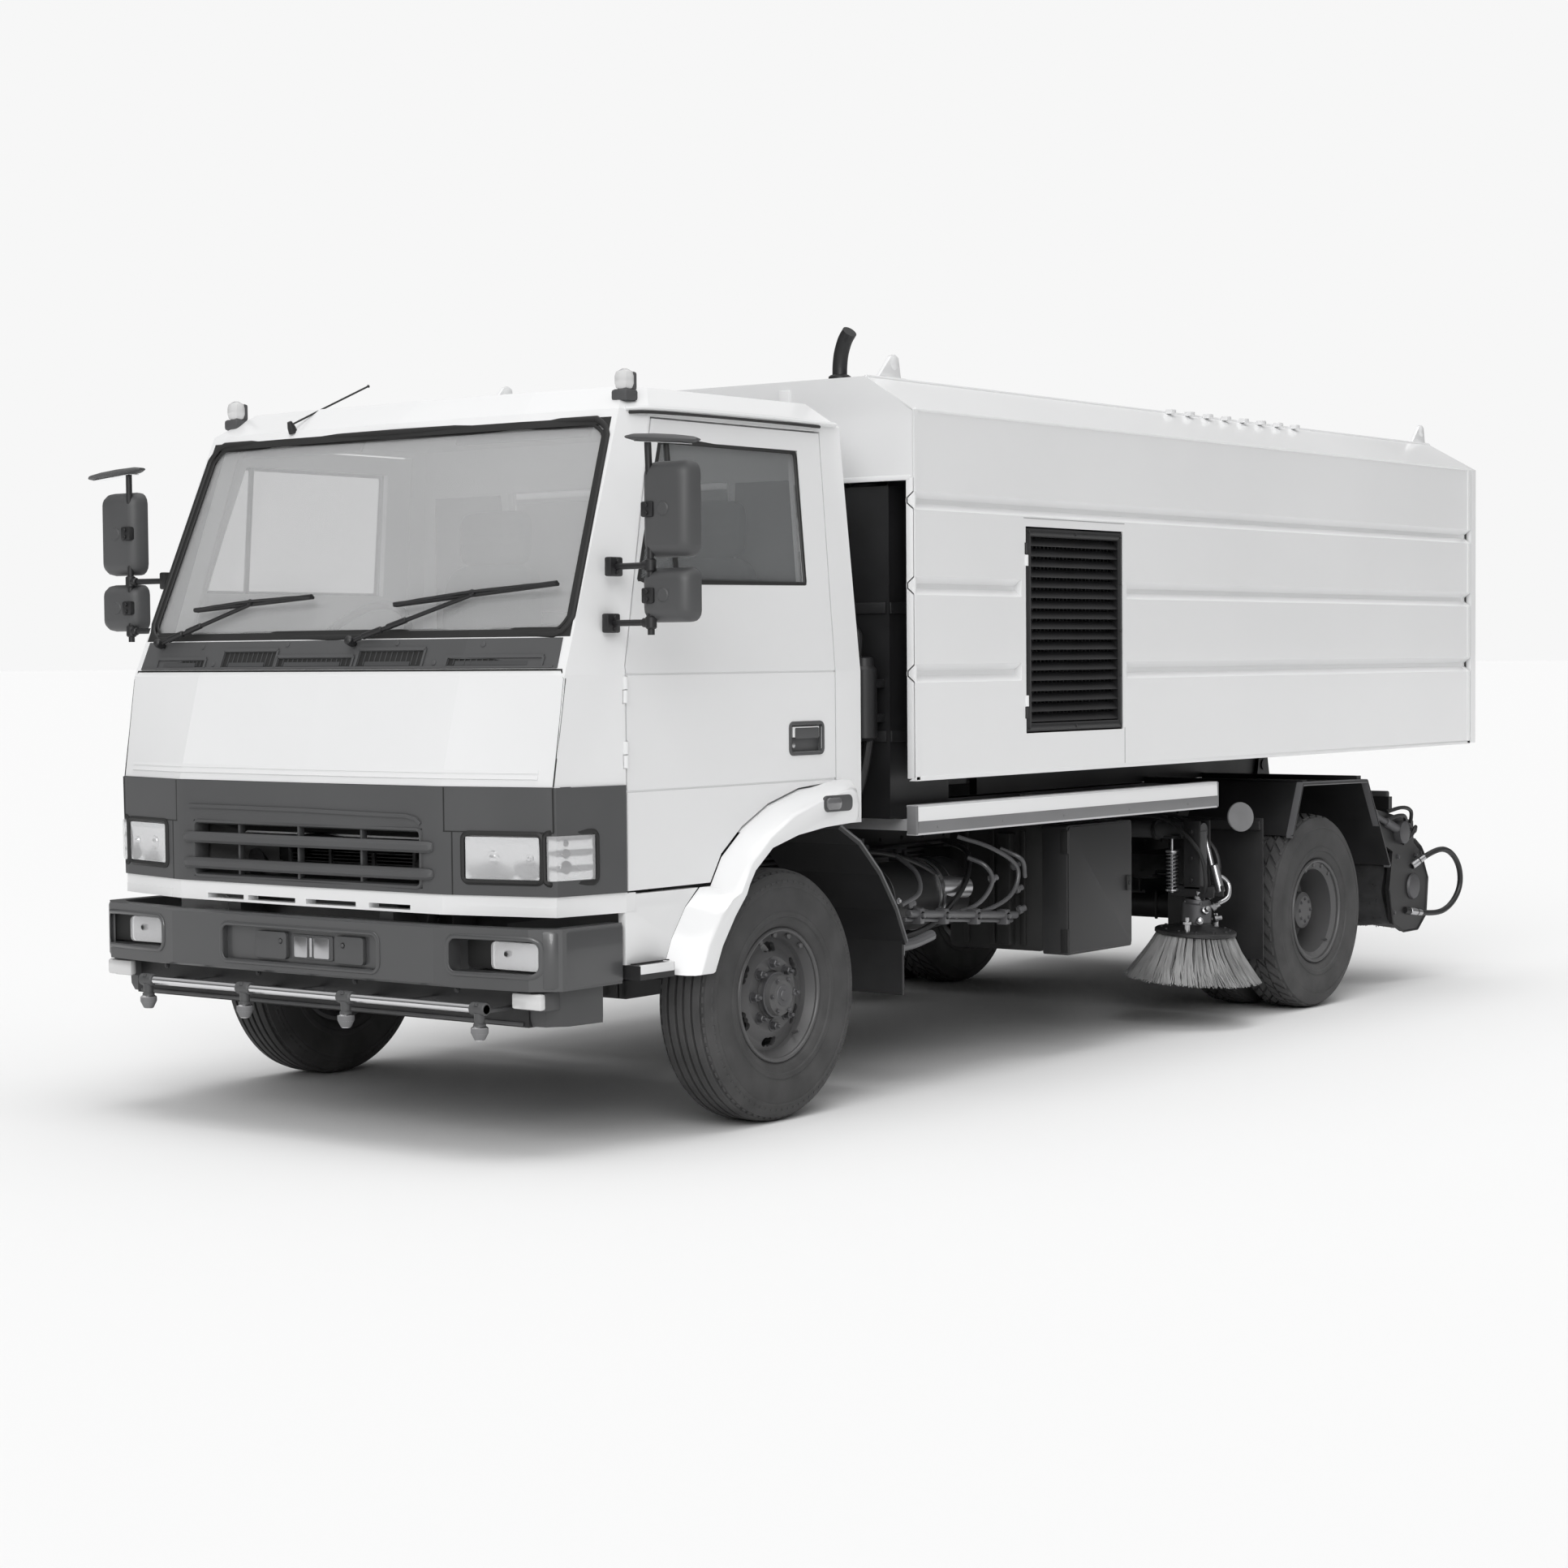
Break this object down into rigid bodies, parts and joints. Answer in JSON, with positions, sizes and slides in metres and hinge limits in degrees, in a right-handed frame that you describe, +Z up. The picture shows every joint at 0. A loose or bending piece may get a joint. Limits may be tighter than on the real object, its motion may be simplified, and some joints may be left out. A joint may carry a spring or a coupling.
{
  "type": "street sweeper truck",
  "caption": "Truck-mounted street sweeper with a forward cab, grooved tipping hopper, louvred engine doors, gutter brooms and a rear roller broom.",
  "frame": {"origin": "on the ground under the middle of the truck's length and width", "axes": "+Z up, the truck faces -Y, +X is its left side"},
  "size_m": [2.792, 6.5609, 2.6704],
  "materials": {
    "white_paint": "gloss white paint",
    "black_paint": "satin black chassis paint",
    "grey_paint": "satin dark grey paint",
    "dark_plastic": "grained dark grey plastic",
    "black_rubber": "matte black rubber",
    "tyre": "ribbed black tyre",
    "wheel_steel": "dark painted wheel steel",
    "bare_steel": "machined steel",
    "silver_paint": "silver paint",
    "chrome": "bright tube",
    "glass": "clear automotive glass",
    "lamp_glass": "clear lamp lenses",
    "seat_fabric": "dark woven seat cover",
    "bristle": "pale stiff bristles",
    "hose": "black hydraulic hose"
  },
  "bodies": {
    "chassis": {"aux_engine": "grey_paint", "axles": "black_paint", "broom_pivots": "black_paint", "bumper": "dark_plastic", "bumper_mounts": "black_paint", "cab_glass": "glass", "cab_shell": "white_paint", "cowl_panel": "dark_plastic", "cylinder_foot": "black_paint", "dashboard": "dark_plastic", "frame_brackets": "black_paint", "frame_rails": "black_paint", "front_mudguards": "black_paint", "grille": "dark_plastic", "lamps": "lamp_glass", "leaf_springs": "black_paint", "marker_lamps": "lamp_glass", "mirrors": "dark_plastic", "powertrain": "grey_paint", "rear_arches": "black_paint", "seats": "seat_fabric", "side_guards": "silver_paint", "side_panels": "white_paint", "spray_bar": "chrome", "subframe": "black_paint", "tanks": "black_paint", "tool_box": "grey_paint", "water_tank": "black_paint", "windscreen_seal": "black_rubber"},
    "knuckle_left": {"knuckle_left": "black_paint"},
    "knuckle_right": {"knuckle_right": "black_paint"},
    "front_wheel_left": {"front_wheel_left": "wheel_steel", "front_tyre_left": "tyre"},
    "front_wheel_right": {"front_wheel_right": "wheel_steel", "front_tyre_right": "tyre"},
    "rear_wheel_left": {"rear_wheels_left": "wheel_steel", "rear_tyres_left": "tyre"},
    "rear_wheel_right": {"rear_wheels_right": "wheel_steel", "rear_tyres_right": "tyre"},
    "door_left": {"door_left": "white_paint", "door_glass_left": "glass"},
    "door_right": {"door_right": "white_paint", "door_glass_right": "glass"},
    "wiper_left": {"wiper_left": "black_paint"},
    "wiper_right": {"wiper_right": "black_paint"},
    "hopper": {"hopper_shell": "white_paint", "hopper_floor": "black_paint", "roof_fittings": "black_paint"},
    "tailgate": {"tailgate": "white_paint"},
    "engine_door_left": {"engine_door_left": "black_paint"},
    "engine_door_right": {"engine_door_right": "black_paint"},
    "tip_barrel": {"tip_barrel": "grey_paint"},
    "tip_ram": {"tip_ram": "bare_steel"},
    "gutter_arm_left": {"gutter_arm_left": "black_paint"},
    "gutter_arm_right": {"gutter_arm_right": "black_paint"},
    "gutter_broom_left": {"gutter_broom_left": "bristle"},
    "gutter_broom_right": {"gutter_broom_right": "bristle"},
    "roller_frame": {"roller_frame": "black_paint", "broom_hose": "hose"},
    "rear_roller": {"rear_roller": "bristle"}
  },
  "joints": [
    {"name": "steer_left", "type": "hinge", "parent": "chassis", "child": "knuckle_left", "pos_m": [0.93, -2.1175, 0.418], "axis": [0, 0, 1], "range_deg": [-35, 35]},
    {"name": "steer_right", "type": "hinge", "parent": "chassis", "child": "knuckle_right", "pos_m": [-0.93, -2.1175, 0.418], "axis": [0, 0, 1], "range_deg": [-35, 35]},
    {"name": "front_left_spin", "type": "hinge", "parent": "knuckle_left", "child": "front_wheel_left", "pos_m": [1.0195, -2.1175, 0.418], "axis": [1, 0, 0], "continuous": true},
    {"name": "rear_left_spin", "type": "hinge", "parent": "chassis", "child": "rear_wheel_left", "pos_m": [1.0445, 1.6825, 0.418], "axis": [1, 0, 0], "continuous": true},
    {"name": "door_left_hinge", "type": "hinge", "parent": "chassis", "child": "door_left", "pos_m": [1.043, -2.8135, 1.45], "axis": [0, 0, -1], "range_deg": [0, 70]},
    {"name": "engine_door_left_hinge", "type": "hinge", "parent": "hopper", "child": "engine_door_left", "pos_m": [1.157, -0.6705, 1.62], "axis": [0, 0, -1], "range_deg": [0, 110]},
    {"name": "gutter_arm_left_lift", "type": "hinge", "parent": "chassis", "child": "gutter_arm_left", "pos_m": [0.47, 0.8825, 0.8], "axis": [0, 1, 0], "range_deg": [0, 11.5]},
    {"name": "gutter_broom_left_spin", "type": "hinge", "parent": "gutter_arm_left", "child": "gutter_broom_left", "pos_m": [0.99, 0.8825, 0.372], "axis": [0.0698, 0, 0.9976], "continuous": true},
    {"name": "front_right_spin", "type": "hinge", "parent": "knuckle_right", "child": "front_wheel_right", "pos_m": [-1.0195, -2.1175, 0.418], "axis": [1, 0, 0], "continuous": true},
    {"name": "rear_right_spin", "type": "hinge", "parent": "chassis", "child": "rear_wheel_right", "pos_m": [-1.0445, 1.6825, 0.418], "axis": [1, 0, 0], "continuous": true},
    {"name": "door_right_hinge", "type": "hinge", "parent": "chassis", "child": "door_right", "pos_m": [-1.043, -2.8135, 1.45], "axis": [0, 0, 1], "range_deg": [0, 70]},
    {"name": "engine_door_right_hinge", "type": "hinge", "parent": "hopper", "child": "engine_door_right", "pos_m": [-1.157, -0.6705, 1.62], "axis": [0, 0, 1], "range_deg": [0, 110]},
    {"name": "gutter_arm_right_lift", "type": "hinge", "parent": "chassis", "child": "gutter_arm_right", "pos_m": [-0.47, 0.8825, 0.8], "axis": [0, -1, 0], "range_deg": [0, 11.5]},
    {"name": "gutter_broom_right_spin", "type": "hinge", "parent": "gutter_arm_right", "child": "gutter_broom_right", "pos_m": [-0.99, 0.8825, 0.372], "axis": [-0.0698, 0, 0.9976], "continuous": true},
    {"name": "wiper_left_sweep", "type": "hinge", "parent": "chassis", "child": "wiper_left", "pos_m": [0.116, -3.0815, 1.592], "axis": [0.0544, -0.9176, 0.3938], "range_deg": [0, 90]},
    {"name": "wiper_right_sweep", "type": "hinge", "parent": "chassis", "child": "wiper_right", "pos_m": [-0.853, -3.0365, 1.592], "axis": [-0.0543, -0.9233, 0.3801], "range_deg": [0, 90]},
    {"name": "body_tip", "type": "hinge", "parent": "chassis", "child": "hopper", "pos_m": [0, 2.6325, 1.005], "axis": [-1, 0, 0], "range_deg": [0, 40]},
    {"name": "tailgate_hinge", "type": "hinge", "parent": "hopper", "child": "tailgate", "pos_m": [0, 3.226, 2.503], "axis": [1, 0, 0], "range_deg": [0, 85]},
    {"name": "tip_barrel_swing", "type": "hinge", "parent": "chassis", "child": "tip_barrel", "pos_m": [0.18, 0.7825, 0.722], "axis": [1, 0, 0], "range_deg": [0, 12.51]},
    {"name": "tip_ram_slide", "type": "slide", "parent": "tip_barrel", "child": "tip_ram", "axis": [0, 0.963, 0.2696], "range_m": [0, 0.3263]},
    {"name": "roller_lift", "type": "hinge", "parent": "chassis", "child": "roller_frame", "pos_m": [0, 2.3025, 0.8], "axis": [-1, 0, 0], "range_deg": [0, 28]},
    {"name": "roller_spin", "type": "hinge", "parent": "roller_frame", "child": "rear_roller", "pos_m": [0, 2.8625, 0.44], "axis": [1, 0, 0], "continuous": true}
  ],
  "couplings": [
    {"joint": "steer_right", "follows": "steer_left", "ratio": 1},
    {"joint": "wiper_left_sweep", "follows": "wiper_right_sweep", "ratio": 1},
    {"joint": "tip_barrel_swing", "follows": "body_tip", "ratio": 0.31248},
    {"joint": "tip_ram_slide", "follows": "body_tip", "m_per_rad": 0.46669}
  ]
}
